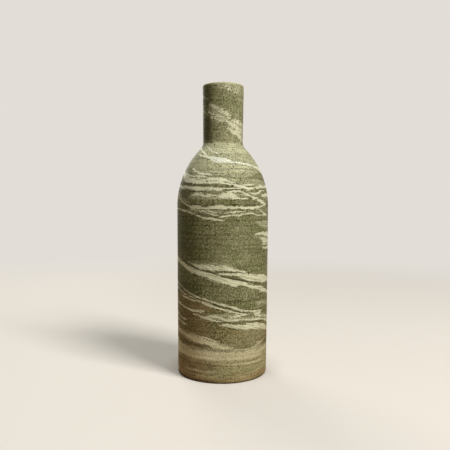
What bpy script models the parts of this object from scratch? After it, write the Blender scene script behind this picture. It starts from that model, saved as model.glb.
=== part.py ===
"""Marbled stoneware bottle, a round vessel with a short neck, in metres with +Z up.

The fired clay is one wall: foot, body, shoulder, neck and lip are a single piece.
A glassy liner coats its inside, so that the bare clay holds water.
The origin is on the axis, on the plane that the foot ring stands on.
"""

import math

import bpy

# Outside of the fired clay
BODY_HEIGHT = 0.163
BELLY_RADIUS = 0.0445
BASE_TAPER = 0.0010
SHOULDER_ARC = 0.080
CREASE_FILLET = 0.010
NECK_RADIUS = 0.0193
NECK_LENGTH = 0.0545
NECK_FLARE = 0.0007
LIP_ROUNDING = 0.0012

# Foot
FOOT_BEVEL_WIDTH = 0.0009
FOOT_BEVEL_HEIGHT = 0.0025
FOOT_RING_WIDTH = 0.0055
FOOT_RECESS = 0.0020
RECESS_SLOPE = 0.0012

# Thickness of the clay
BODY_WALL = 0.0050
NECK_WALL = 0.0040
FLOOR_THICKNESS = 0.0060
INNER_CORNER = 0.0080

# Liner glaze
GLAZE_THICKNESS = 0.0005
GLAZE_CLEARANCE = 0.0003
GLAZE_STOP = 0.0030

# Fineness of the facets
CLAY_FACETS = 64
GLAZE_FACETS = 48
BODY_STEPS = 6
SHOULDER_STEPS = 10
FILLET_STEPS = 5
NECK_STEPS = 2
CORNER_STEPS = 5
LIP_STEPS = 3
GLAZE_EDGE_STEPS = 4
MERGE_DISTANCE = 0.00001

# The shoulder is a bulging arc whose centre lies level with the top of the body. The crease
# under the neck is a hollow arc that touches it from outside, so the two centres are apart
# by the sum of the radii.
SHOULDER_CENTRE_R = BELLY_RADIUS - SHOULDER_ARC
CREASE_CENTRE_R = NECK_RADIUS + CREASE_FILLET
SHOULDER_RISE = math.sqrt((SHOULDER_ARC + CREASE_FILLET) ** 2
                          - (CREASE_CENTRE_R - SHOULDER_CENTRE_R) ** 2)
NECK_BOTTOM = BODY_HEIGHT + SHOULDER_RISE
SHOULDER_SWEEP = math.asin(SHOULDER_RISE / (SHOULDER_ARC + CREASE_FILLET))
BOTTLE_HEIGHT = NECK_BOTTOM + NECK_LENGTH
LIP_RADIUS = NECK_RADIUS + NECK_FLARE
FLOOR_TOP = FOOT_RECESS + FLOOR_THICKNESS
LIP_CORNER = min(LIP_ROUNDING, 0.45 * NECK_WALL)


def shares(steps):
    """Even steps from 0 to 1, both ends included."""
    return [step / steps for step in range(steps + 1)]


def arc(centre_r, centre_z, radius, start, end, steps):
    """Points (r, z) of an arc from angle start to angle end, in degrees from the outward axis."""
    angles = [math.radians(start + (end - start) * share) for share in shares(steps)]
    return [(centre_r + radius * math.cos(a), centre_z + radius * math.sin(a)) for a in angles]


def body_samples(bottom):
    """The body between height bottom and the shoulder: (r, z, outward normal), swelling upwards."""
    samples = []
    for share in shares(BODY_STEPS):
        z = bottom + (BODY_HEIGHT - bottom) * share
        below = 1 - z / BODY_HEIGHT
        slope = 2 * BASE_TAPER * below / BODY_HEIGHT
        size = math.hypot(1, slope)
        samples.append((BELLY_RADIUS - BASE_TAPER * below ** 2, z, 1 / size, -slope / size))
    return samples


def shoulder_samples():
    """The bulging arc from the body to the crease."""
    samples = []
    for share in shares(SHOULDER_STEPS)[1:]:
        angle = SHOULDER_SWEEP * share
        nr, nz = math.cos(angle), math.sin(angle)
        samples.append((SHOULDER_CENTRE_R + SHOULDER_ARC * nr, BODY_HEIGHT + SHOULDER_ARC * nz, nr, nz))
    return samples


def crease_samples():
    """The hollow arc that turns the shoulder into the neck."""
    samples = []
    for share in shares(FILLET_STEPS)[1:]:
        angle = SHOULDER_SWEEP * (1 - share)
        nr, nz = math.cos(angle), math.sin(angle)
        samples.append((CREASE_CENTRE_R - CREASE_FILLET * nr, NECK_BOTTOM - CREASE_FILLET * nz, nr, nz))
    return samples


def neck_samples(top):
    """The neck up to height top, a little wider towards the lip."""
    samples = []
    size = math.hypot(NECK_LENGTH, NECK_FLARE)
    for share in shares(NECK_STEPS)[1:]:
        z = NECK_BOTTOM + (top - NECK_BOTTOM) * share
        r = NECK_RADIUS + NECK_FLARE * (z - NECK_BOTTOM) / NECK_LENGTH
        samples.append((r, z, NECK_LENGTH / size, -NECK_FLARE / size))
    return samples


def outer_surface(bottom, top):
    """The outer surface of the clay between two heights, as (r, z, outward normal)."""
    return body_samples(bottom) + shoulder_samples() + crease_samples() + neck_samples(top)


def wall_thickness(z):
    """Clay thickness behind a point of the outer surface: it thins along the shoulder."""
    share = min(max((z - BODY_HEIGHT) / (NECK_BOTTOM - BODY_HEIGHT), 0), 1)
    blend = share * share * (3 - 2 * share)
    return BODY_WALL + (NECK_WALL - BODY_WALL) * blend


def inner_surface(offset, top):
    """The inner wall, moved inwards by offset, from the middle of the floor up to height top."""
    corner = max(INNER_CORNER - offset, 0.0005)
    floor = FLOOR_TOP + offset
    wall = [(r - nr * (wall_thickness(z) + offset), z - nz * (wall_thickness(z) + offset))
            for r, z, nr, nz in outer_surface(floor + corner, top)]
    wall[0] = (wall[0][0], floor + corner)
    wall[-1] = (wall[-1][0], top)
    turn = arc(wall[0][0] - corner, floor + corner, corner, -90, 0, CORNER_STEPS)
    return [(0, floor)] + turn[:-1] + wall


def clay_profile():
    """Half section of the clay: up the inside, over the lip, down the outside and under the foot."""
    lip_edge = BOTTLE_HEIGHT - LIP_CORNER
    inside = inner_surface(0, lip_edge)
    outside = [(r, z) for r, z, _, _ in outer_surface(FOOT_BEVEL_HEIGHT, lip_edge)]
    inner_lip = arc(inside[-1][0] + LIP_CORNER, lip_edge, LIP_CORNER, 180, 90, LIP_STEPS)
    outer_lip = arc(outside[-1][0] - LIP_CORNER, lip_edge, LIP_CORNER, 90, 0, LIP_STEPS)
    ring_outer = outside[0][0] - FOOT_BEVEL_WIDTH
    ring_inner = ring_outer - FOOT_RING_WIDTH
    foot = [
        (ring_outer, 0),
        (ring_inner, 0),
        (ring_inner - RECESS_SLOPE, FOOT_RECESS),
        (0, FOOT_RECESS),
    ]
    return inside[:-1] + inner_lip + outer_lip[:-1] + outside[::-1] + foot


def glaze_profile():
    """Half section of the liner: a thin coat that follows the inside and ends below the lip."""
    edge_radius = GLAZE_THICKNESS / 2
    top = BOTTLE_HEIGHT - GLAZE_STOP - edge_radius
    face = inner_surface(GLAZE_CLEARANCE + GLAZE_THICKNESS, top)
    back = inner_surface(GLAZE_CLEARANCE, top)
    middle = (face[-1][0] + back[-1][0]) / 2
    edge = arc(middle, top, edge_radius, 180, 0, GLAZE_EDGE_STEPS)
    return face + edge[1:-1] + back[::-1]


def principled(name, colour, roughness):
    """A material with one Principled BSDF."""
    material = bpy.data.materials.new(name)
    material.use_nodes = True
    shader = material.node_tree.nodes["Principled BSDF"]
    shader.inputs["Base Color"].default_value = (*colour, 1)
    shader.inputs["Roughness"].default_value = roughness
    shader.inputs["Metallic"].default_value = 0
    return material


def turned(name, profile, facets, material):
    """A solid of revolution about Z, from a half section that starts and ends on the axis."""
    mesh = bpy.data.meshes.new(name)
    edges = [(i, i + 1) for i in range(len(profile) - 1)]
    mesh.from_pydata([(r, 0, z) for r, z in profile], edges, [])
    mesh.materials.append(material)
    turned_piece = bpy.data.objects.new(name, mesh)
    bpy.context.scene.collection.objects.link(turned_piece)
    screw = turned_piece.modifiers.new("turn", "SCREW")
    screw.axis = "Z"
    screw.angle = math.tau
    screw.steps = facets
    screw.render_steps = facets
    screw.use_merge_vertices = True
    screw.merge_threshold = MERGE_DISTANCE
    screw.use_smooth_shade = True
    return turned_piece


def main():
    for old in list(bpy.data.objects):
        bpy.data.objects.remove(old)
    clay = principled("sage_stoneware", (0.215, 0.215, 0.130), 0.62)
    glaze = principled("clear_liner_glaze", (0.420, 0.400, 0.290), 0.12)
    turned("bottle_body", clay_profile(), CLAY_FACETS, clay)
    turned("liner_glaze", glaze_profile(), GLAZE_FACETS, glaze)


main()
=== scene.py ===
# Looks of the marbled stoneware bottle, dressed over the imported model.
#
# Two turned meshes stand for the two nodes: the stoneware wall and the glaze that lines it.
# The white veins, the mixed clay, the iron specks and the throwing lines are shader nodes that
# read only a point's place on the pot.

import math

import bmesh
import bpy
from mathutils import Matrix, Vector


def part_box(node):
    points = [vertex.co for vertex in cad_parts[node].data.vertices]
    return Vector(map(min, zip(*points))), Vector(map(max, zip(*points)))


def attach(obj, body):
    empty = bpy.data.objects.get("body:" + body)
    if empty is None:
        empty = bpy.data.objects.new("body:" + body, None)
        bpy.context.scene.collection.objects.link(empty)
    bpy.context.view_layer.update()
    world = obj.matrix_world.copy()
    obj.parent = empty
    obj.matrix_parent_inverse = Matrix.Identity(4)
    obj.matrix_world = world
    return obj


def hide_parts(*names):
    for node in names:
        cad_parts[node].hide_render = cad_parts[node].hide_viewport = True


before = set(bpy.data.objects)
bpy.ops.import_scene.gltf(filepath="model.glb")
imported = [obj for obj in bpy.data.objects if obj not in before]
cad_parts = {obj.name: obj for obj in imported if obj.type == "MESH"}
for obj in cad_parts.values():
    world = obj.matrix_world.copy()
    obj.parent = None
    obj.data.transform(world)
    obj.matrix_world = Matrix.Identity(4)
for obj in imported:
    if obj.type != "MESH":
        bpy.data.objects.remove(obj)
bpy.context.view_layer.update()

MM = 0.001

# Outside of the pot in millimetres, as the potter would measure it
body_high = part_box("bottle_body")[1]
HEIGHT = body_high[2] / MM
BELLY_RADIUS = body_high[0] / MM
BODY_HEIGHT = 163
BASE_TAPER = 1.0
SHOULDER_ARC = 80
CREASE_FILLET = 10
NECK_RADIUS = 19.3
NECK_FLARE = 0.7
LIP_ROUNDING = 1.2
FOOT_BEVEL_WIDTH = 0.9
FOOT_BEVEL_HEIGHT = 2.5
FOOT_RING_WIDTH = 5.5
RING_ROUNDING = 0.3
FOOT_RECESS = 2.0
RECESS_SLOPE = 1.2
RECESS_ROUNDING = 0.2
RECESS_BEND = 0.5
BODY_WALL = 5.0
NECK_WALL = 4.0
FLOOR_THICKNESS = 6.0
INNER_CORNER = 8.0
GLAZE_THICKNESS = 0.5
GLAZE_SUNK = 0.05
GLAZE_STOP = 3.0

# Points on the rounded bevel, as shares of its width and height, and rows across the recess
BEVEL_CURVE = [(0.18, 0.72), (0.5, 0.28)]
RECESS_ROWS = (0.6, 0.2, 0)

# Places that follow from those sizes
SHOULDER_CENTRE_R = BELLY_RADIUS - SHOULDER_ARC
CREASE_CENTRE_R = NECK_RADIUS + CREASE_FILLET
SHOULDER_RISE = math.sqrt((SHOULDER_ARC + CREASE_FILLET) ** 2
                          - (CREASE_CENTRE_R - SHOULDER_CENTRE_R) ** 2)
NECK_BOTTOM = BODY_HEIGHT + SHOULDER_RISE
SHOULDER_SWEEP = math.asin(SHOULDER_RISE / (SHOULDER_ARC + CREASE_FILLET))
NECK_LENGTH = HEIGHT - NECK_BOTTOM
FLOOR_TOP = FOOT_RECESS + FLOOR_THICKNESS

# Fineness of the meshes
FACETS = 208
ROW_SPACING = 1.0
ARC_ROWS = 8

# Marks of the wheel: their depths in millimetres
RIDGE_DEPTH = 0.045
BASE_RIDGE_DEPTH = 0.06
OUT_OF_ROUND = 0.08
LIP_UNEVEN = 0.12
GLAZE_LINE_WAVE = 0.5

# Where they fade: above the foot, then below the lip
MARKS_START = 8
BASE_RIDGE_FADE = (18, 34)
MARKS_STOP = 6
LIP_SAG_HEIGHT = 8
GLAZE_LINE_HEIGHT = 20

# Ridges: strength, pace up the pot, how far they wander, over what height, from where, and turns
RIDGES = [(1.0, 1.46, 0.9, 9.0, 0, 1), (0.6, 2.3, 1.4, 5.0, 1, 2)]

# Slow swellings: strength, turns, and the height over which they lean round the pot
SWELLINGS = [(1.0, 2, 47.0), (0.5, 3, -31.0)]

# Waves of the glaze line: strength, turns and start
GLAZE_WAVES = [(1.0, 3, 1), (0.6, 5, 2.4), (0.3, 11, 0)]

# Heights that the vein curves span, from the middle of the underside to above the lip
CURVE_BOTTOM = -50
CURVE_TOP = 300
CURVE_THICKEST = 20
CURVE_MARGIN = 0.001

# Veins taper off over some degrees at each end, unless they end at the seam of their half
VEIN_TAPER = 2
VEIN_SEAM = 178

# The thickest half of a vein that frays in full, and how softly bands, threads and the painted warm shade
# end
FRAYED_HALF = 1.2
BAND_SOFTNESS = 2.4
THREAD_SOFTNESS = 0.4
PAINTED_SHADE_SOFTNESS = 5.0

# How far the dark outline beside a white vein reaches, and the trace that ties a vein to the next
EDGE_REACH = 1.1
TRACE = 1e-9

# Relief of the clay in millimetres
LINE_DEPTH = 0.012
FOOT_LINE_DEPTH = 0.03
GRAIN_RISE = 0.05
SPECK_DEPTH = 0.04
VEIN_RISE = 0.02
PINHOLE_DEPTH = 0.05

# Specks: spacing and radius in millimetres, the share of cells that hold one, and a shift
BIG_SPECKS = (3.8, 0.95, 0.38, 0.0)
SMALL_SPECKS = (2.0, 0.68, 0.86, 37.0)
PINHOLES = (4.0, 0.3, 0.4, 11.0)

# Colours as a viewer sees them, 0 to 255
GREEN_CLAY = (120, 118, 83)
GREEN_CLAY_LIGHT = (131, 130, 95)
MOSS_CLAY = (110, 117, 72)
DARK_CLAY = (68, 66, 37)
THREAD_CLAY = (54, 52, 27)
WHITE_CLAY = (227, 226, 195)
PAINTED_LIGHT_WHITE = (251, 250, 222)
PAINTED_REFLECTION_WHITE = (226, 229, 211)
MIXED_CLAY = (200, 198, 160)
CREAM_SLIP = (206, 195, 156)
PALE_SLIP = (236, 224, 188)
BROWN_CLAY_AND_BOUNCE = (131, 115, 74)
PAINTED_WARM_SHADE = (112, 80, 48)
TAN_CLAY = (176, 164, 122)
RED_TAN_CLAY = (166, 138, 97)
PAINTED_WARM_BOUNCE = (206, 164, 124)
GREEN_TAN_CLAY = (158, 154, 111)
PAINTED_SHADE_BROWN = (96, 70, 44)
PAINTED_CONTACT_SHADE = (138, 104, 68)
IRON = (48, 43, 26)
PALE_GRAIN = (188, 185, 150)
GLAZE_TINT = (206, 204, 186)
FLOOR_COLOUR = (214, 208, 200)
FLOOR_BOUNCE = (158, 145, 120)
BACKDROP_COLOUR = (226, 221, 214)

# White veins on the front. Each point is (degrees to the right of the front, millimetres above
# the foot, thickness in millimetres).
NECK_VEINS = [
    [(10, 272.8, 0.4), (14, 272.8, 1.8), (19, 272.4, 1.8), (28, 271, 1.4), (42, 270.4, 1.8),
     (56, 269.6, 0.8)],
    [(-2, 275.6, 0.5), (5, 275.4, 2.4), (14, 274.8, 1.8), (22, 275, 0.6)],
    [(-46, 259.4, 1.5), (-36, 258.4, 4.4), (-28, 257.6, 6), (-19, 255.4, 4.4), (-10, 253.6, 3),
     (0, 252.6, 1.6)],
    [(-46, 251.8, 1), (-32, 250.2, 4.4), (-18, 248.8, 3.8), (-5, 247.2, 3.4), (8, 246.4, 2.8),
     (22, 246.4, 1.4)],
    [(-14, 251.6, 1.2), (-4, 251.6, 3.8), (6, 251, 4.6), (15, 249.8, 3), (26, 248, 1.2)],
    [(-40, 247.4, 0.8), (-28, 246, 3), (-12, 244.4, 2.8), (-2, 243.6, 3.2), (8, 242.8, 3.4),
     (20, 240.8, 4.2), (32, 239.6, 4.4), (46, 238.6, 3)],
    [(10, 236.2, 0.8), (19, 235.8, 3), (31, 234, 4.6), (46, 232, 5.4), (62, 228.6, 7.2), (84, 226.4, 4.6),
     (112, 223, 1)],
    [(20, 244.6, 1), (36, 243.4, 3), (56, 241.8, 4.6), (82, 239.6, 5), (108, 237.6, 2.4)],
    [(24, 238.4, 1), (38, 237, 4), (54, 235.6, 6), (72, 234, 7), (92, 232, 5), (112, 230, 1)],
    [(-96, 270, 3), (-80, 269.4, 3), (-64, 267, 2.4), (-48, 264.2, 1.4), (-40, 263, 0.4)],
    [(-80, 255.4, 1), (-66, 254, 2), (-52, 251.4, 1.4), (-42, 250.4, 0.6)],
]
SHOULDER_VEINS = [
    # The first vein is widest between -22 and 8 degrees, partly the vein and partly a painted highlight
    [(-40, 210.8, 0.5), (-31, 209.8, 1.8), (-22, 208, 3.6), (-13, 206.6, 5.4), (-3, 205.6, 5.4),
     (8, 204.9, 3.6), (17, 203.6, 2), (29, 203, 2), (42, 202.2, 1.8), (56, 200.4, 2.4), (68, 198.8, 4.6),
     (86, 197, 5)],
    [(-96, 219.4, 0.7), (-76, 219, 0.9), (-61, 217.2, 1.4), (-49, 215, 1.8), (-39, 212.6, 2.4),
     (-30, 210.6, 1)],
    [(-60, 212, 0.5), (-50, 211.4, 1.2), (-40, 210.2, 1.2), (-32, 208.8, 0.5)],
    [(-56, 221.4, 0.4), (-46, 220, 1), (-36, 218.4, 0.5)],
    [(-38, 217.6, 0.6), (-26, 215.2, 1.4), (-14, 213, 1.2), (-6, 211.6, 0.4)],
    [(-96, 196.4, 1.6), (-80, 195.6, 2.2), (-66, 192, 7), (-58, 190.2, 8.4), (-50, 187.2, 4.8),
     (-40, 185.8, 3.8), (-30, 185.4, 3.4), (-22, 185.8, 2.2)],
    [(-52, 198.4, 0.6), (-46, 197.2, 2.6), (-41, 195.4, 1.6), (-36, 194.4, 2), (-32, 193.6, 0.6)],
    [(-38, 193, 0.6), (-31, 192.6, 2.4), (-24, 192.4, 3), (-18, 192, 2.2), (-12, 191.4, 0.6)],
    [(-40, 190.4, 0.6), (-33, 190, 1.6), (-27, 189.6, 1.8), (-21, 189.4, 0.8)],
    [(-54, 191.6, 0.6), (-46, 190.6, 1.4), (-40, 189.8, 0.6)],
    [(-46, 188.6, 0.6), (-38, 188.2, 1), (-30, 187.6, 1.2), (-24, 187, 1), (-17, 187.4, 3.4),
     (-10, 187.6, 3.2), (-4, 186.8, 4), (2, 187, 2.2), (8, 185.6, 1.6), (16, 184.6, 0.6)],
    [(-56, 185.8, 0.8), (-40, 185.4, 1.6), (-24, 184.8, 2), (-12, 184.6, 2.4), (0, 184.4, 2),
     (10, 183.2, 1.4)],
    [(8, 183.4, 0.8), (18, 182.4, 2), (26, 181.2, 3), (34, 178.8, 3.4), (42, 179.6, 2.6), (50, 180.6, 2.2),
     (58, 181.8, 3), (68, 181.8, 2.2), (88, 181.4, 3)],
]
UPPER_BODY_VEINS = [
    [(-96, 181, 1.8), (-70, 181.1, 2), (-50, 180.8, 2.6), (-38, 179.6, 3.2), (-26, 178.9, 3.2),
     (-9, 178.4, 2.8), (-4, 178, 2.6), (2, 179.2, 1.4), (14, 179.7, 1.5), (24, 179.4, 1)],
    [(22, 184, 0.5), (30, 182.8, 1.2), (38, 183, 1.4), (46, 183.4, 0.6)],
    [(-8, 171.8, 0.5), (-3, 172.3, 3), (3, 173, 6), (9, 173.2, 6.4), (14, 171.8, 4.6), (21, 170, 1.8),
     (31, 170.3, 0.8)],
    [(7, 176.4, 0.6), (13, 176.7, 1.6), (20, 177, 1.3), (28, 175, 1.5), (36, 172.6, 2.2), (44, 170.6, 2.4),
     (52, 168.6, 3), (60, 166.6, 3.4), (68, 165.6, 1.6)],
    [(35, 175, 0.5), (41, 174.4, 1.4), (47, 174.6, 2), (52, 176.2, 2.2), (58, 177.6, 1.4), (66, 178, 0.8)],
    [(-42, 173, 0.8), (-33, 173.8, 2.8), (-26, 173.2, 2.8), (-20, 172.2, 1.6), (-12, 172.8, 1.6),
     (-6, 172.6, 0.8)],
    [(56, 172.6, 0.8), (64, 173.4, 3), (74, 173.6, 3.2), (96, 173, 2.4)],
    [(-82, 177.6, 0.4), (-74, 175, 0.7), (-67, 171, 0.9), (-60, 167.4, 1.3), (-52, 165, 1.5),
     (-42, 163.2, 1)],
    [(-44, 162.6, 1), (-36, 162.4, 3.2), (-28, 162, 3), (-21, 161.2, 1.7), (-13, 162.2, 3),
     (-4, 162.4, 3.6), (5, 161.8, 3), (13, 161.7, 2.8), (22, 162.2, 2.8), (32, 161.2, 3), (41, 161.3, 3),
     (48, 162.4, 2.4), (57, 163.6, 1.8), (66, 164, 0.8)],
    [(-96, 160.6, 1.6), (-66, 160.5, 1.6), (-52, 158.8, 1.3), (-43, 157.4, 1.6), (-34, 155, 1.6),
     (-25, 152.9, 1.6), (-13, 151.6, 1.8), (-5, 151.2, 1.5), (2, 150, 0.8)],
    [(-42, 160.2, 0.8), (-31, 159.6, 1.3), (-21, 158.4, 1.2), (-12, 156, 1.8), (-6, 155.4, 0.8)],
    [(-22, 160.4, 0.7), (-14, 159, 1.5), (-7, 157.4, 0.8)],
    [(-4, 153.6, 0.5), (3, 154.3, 1.6), (10, 155, 1.3), (18, 154.4, 2), (26, 155.8, 1.3), (34, 156.2, 1.1),
     (45, 154.9, 1.4), (56, 154.7, 1.2), (68, 155.4, 1)],
    [(2, 157.2, 0.5), (11, 157.6, 1.2), (19, 157.8, 1.8), (25, 158.6, 0.7)],
    [(45, 160.4, 0.7), (52, 159.4, 1.4), (57, 157.6, 1.8), (64, 155.6, 2), (72, 155, 1)],
    [(44, 149.2, 0.4), (49, 148.4, 0.8), (56, 149, 0.5), (62, 149.4, 1), (74, 148.6, 0.6)],
    [(52, 145.4, 0.4), (57, 144.8, 1.1), (64, 144.6, 0.9), (74, 145, 0.5)],
]
MIDDLE_VEINS = [
    [(42, 137.2, 0.7), (49, 137.6, 2.8), (57, 137.6, 3.6), (66, 136.2, 4.2), (76, 135.8, 4.6),
     (96, 134.4, 4)],
    [(52, 132.8, 0.7), (59, 131, 3), (67, 130.6, 4.2), (77, 129.6, 4), (90, 129, 1)],
    [(56, 127.2, 0.6), (68, 127, 1.6), (80, 126.6, 1.4)],
    [(58, 123.8, 0.6), (69, 123.6, 2), (80, 123.4, 2.2), (96, 122.6, 2)],
    [(-96, 114.3, 3.4), (-76, 112.8, 4.6), (-61, 109.6, 5), (-46, 105.2, 5), (-31, 102.5, 4.4),
     (-21, 100.6, 4.6), (-12, 98.4, 6), (-4, 96.6, 6.8), (6, 94.8, 6.8), (16, 93.2, 5.8), (26, 91.6, 3.8),
     (36, 89.2, 3.6), (46, 87.4, 3.8), (56, 85.4, 4.6), (66, 83, 4.6), (76, 81, 4), (96, 76.6, 4)],
    [(-46, 111.6, 0.6), (-37, 109.2, 2), (-27, 107.8, 4), (-16, 107.2, 5), (-5, 106.8, 4.6),
     (3, 107.2, 4.2), (11, 105.4, 4), (19, 104.4, 2.4), (29, 102.8, 1)],
    [(-10, 101.6, 0.5), (-2, 101.4, 1.6), (10, 101, 2.4), (20, 100.8, 3.6), (29, 99, 6), (40, 97.2, 7),
     (51, 96, 7), (61, 94.8, 6.6), (72, 93.4, 5.4), (96, 91.6, 4)],
]
LOWER_VEINS = [
    [(-96, 90.2, 2.6), (-76, 89.6, 2.6), (-66, 87.8, 2), (-56, 85.2, 1.7), (-46, 82.8, 2), (-36, 80.6, 1.7),
     (-26, 78.6, 1.7), (-16, 76.5, 1.8), (-6, 74.5, 1.8), (5, 72.2, 1.9), (15, 69.9, 2), (23, 68.1, 2),
     (33, 67, 1.6), (43, 65.8, 1.6), (50, 65.4, 1.8), (58, 65, 0.7)],
    [(-96, 84.2, 2), (-76, 84.6, 2.4), (-62, 82.4, 1.6), (-44, 79.2, 1.2), (-33, 77.6, 1.6),
     (-23, 74.8, 2.6), (-13, 72.2, 2.8), (-5, 70.4, 2.2), (3, 68.8, 2), (11, 67.2, 1.8), (19, 65.6, 1.4),
     (27, 64.4, 0.8)],
    [(-64, 79.6, 0.6), (-54, 78.2, 1.6), (-40, 76.4, 1.4), (-30, 75.4, 0.6)],
    [(7, 61.4, 0.7), (14, 62.6, 2), (21, 63.3, 2.4), (27, 63.5, 2), (32, 63.3, 0.7)],
    [(-96, 73.2, 1.4), (-80, 72.4, 1.6), (-68, 70.2, 1.8), (-55, 68.4, 1.5), (-45, 67, 1.7),
     (-34, 66.4, 2.2), (-26, 66.4, 2.4), (-21, 66.6, 0.8)],
    [(-38, 63.2, 0.6), (-30, 62.4, 1.8), (-21, 60.8, 2), (-13, 59.8, 2.2), (-6, 58.4, 1.2), (0, 57.8, 0.5)],
    [(-18, 61.8, 0.6), (-11, 62.4, 2.4), (-4, 61.4, 2.2), (4, 60.2, 1.8), (14, 59.6, 1.6), (26, 59.3, 1.6),
     (37, 58.5, 1.6), (47, 57.4, 1.8), (56, 56.6, 1.5), (66, 55, 0.8)],
    [(39, 65.4, 0.7), (43, 64.2, 2.4), (47, 62.8, 4.2), (52, 63, 3.4), (58, 64.6, 1.2)],
    [(43, 61.8, 0.8), (51, 60.2, 2), (60, 58.8, 2), (70, 57.4, 2), (83, 55, 2.2), (96, 54.4, 1.8)],
    [(-3, 54.4, 0.7), (5, 54.2, 2.6), (13, 53.6, 3.2), (21, 52.8, 4.2), (29, 52.2, 5.2), (37, 52, 6.2),
     (45, 51.8, 6), (53, 50.4, 5), (62, 48.6, 5.8), (72, 46.4, 4.6), (84, 44.2, 3.6), (96, 42.2, 3.2)],
    [(64, 54.6, 0.6), (72, 53.4, 3), (80, 52.2, 3), (92, 51, 1)],
    [(-96, 60.4, 2), (-84, 60.2, 2), (-72, 59.4, 1.8), (-62, 57.6, 1.4), (-55, 57, 1.7), (-49, 56.8, 0.6)],
    [(-82, 55.4, 1), (-68, 53.8, 1.4), (-59, 52.4, 1.7), (-49, 51.4, 0.8)],
]
FOOT_VEINS = [
    [(-96, 46.4, 3), (-84, 45.8, 3.4), (-70, 44.4, 3.8), (-56, 42.6, 3.8), (-47, 41.4, 4.4),
     (-38, 40.4, 4.6), (-32, 39.6, 4.8), (-24, 38.8, 5), (-17, 37.8, 5.4), (-8, 36.2, 4.4), (-2, 34.8, 3.4),
     (5, 33.8, 2), (12, 33, 0.8)],
    [(-42, 44.4, 0.4), (-28, 43, 1.1), (-16, 41.6, 1.3), (-6, 39.4, 0.9), (2, 37.8, 0.4)],
    [(-16, 34.8, 0.7), (-8, 34.2, 1.8), (1, 33.4, 1.6), (9, 32.6, 0.6)],
    [(-96, 34.6, 4), (-80, 34, 4.6), (-68, 32.4, 3.6), (-56, 31.2, 2.6), (-44, 30.6, 1)],
    [(11, 31.6, 0.3), (18, 31.2, 1.1), (23, 30.7, 0.6), (29, 30.4, 1.4), (36, 31, 0.9), (43, 31.8, 1.5),
     (51, 33.2, 1.5), (60, 35, 1.2), (70, 36.8, 0.4)],
    [(46, 34.8, 0.4), (51, 35, 1.5), (57, 34.6, 0.5)],
]

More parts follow.
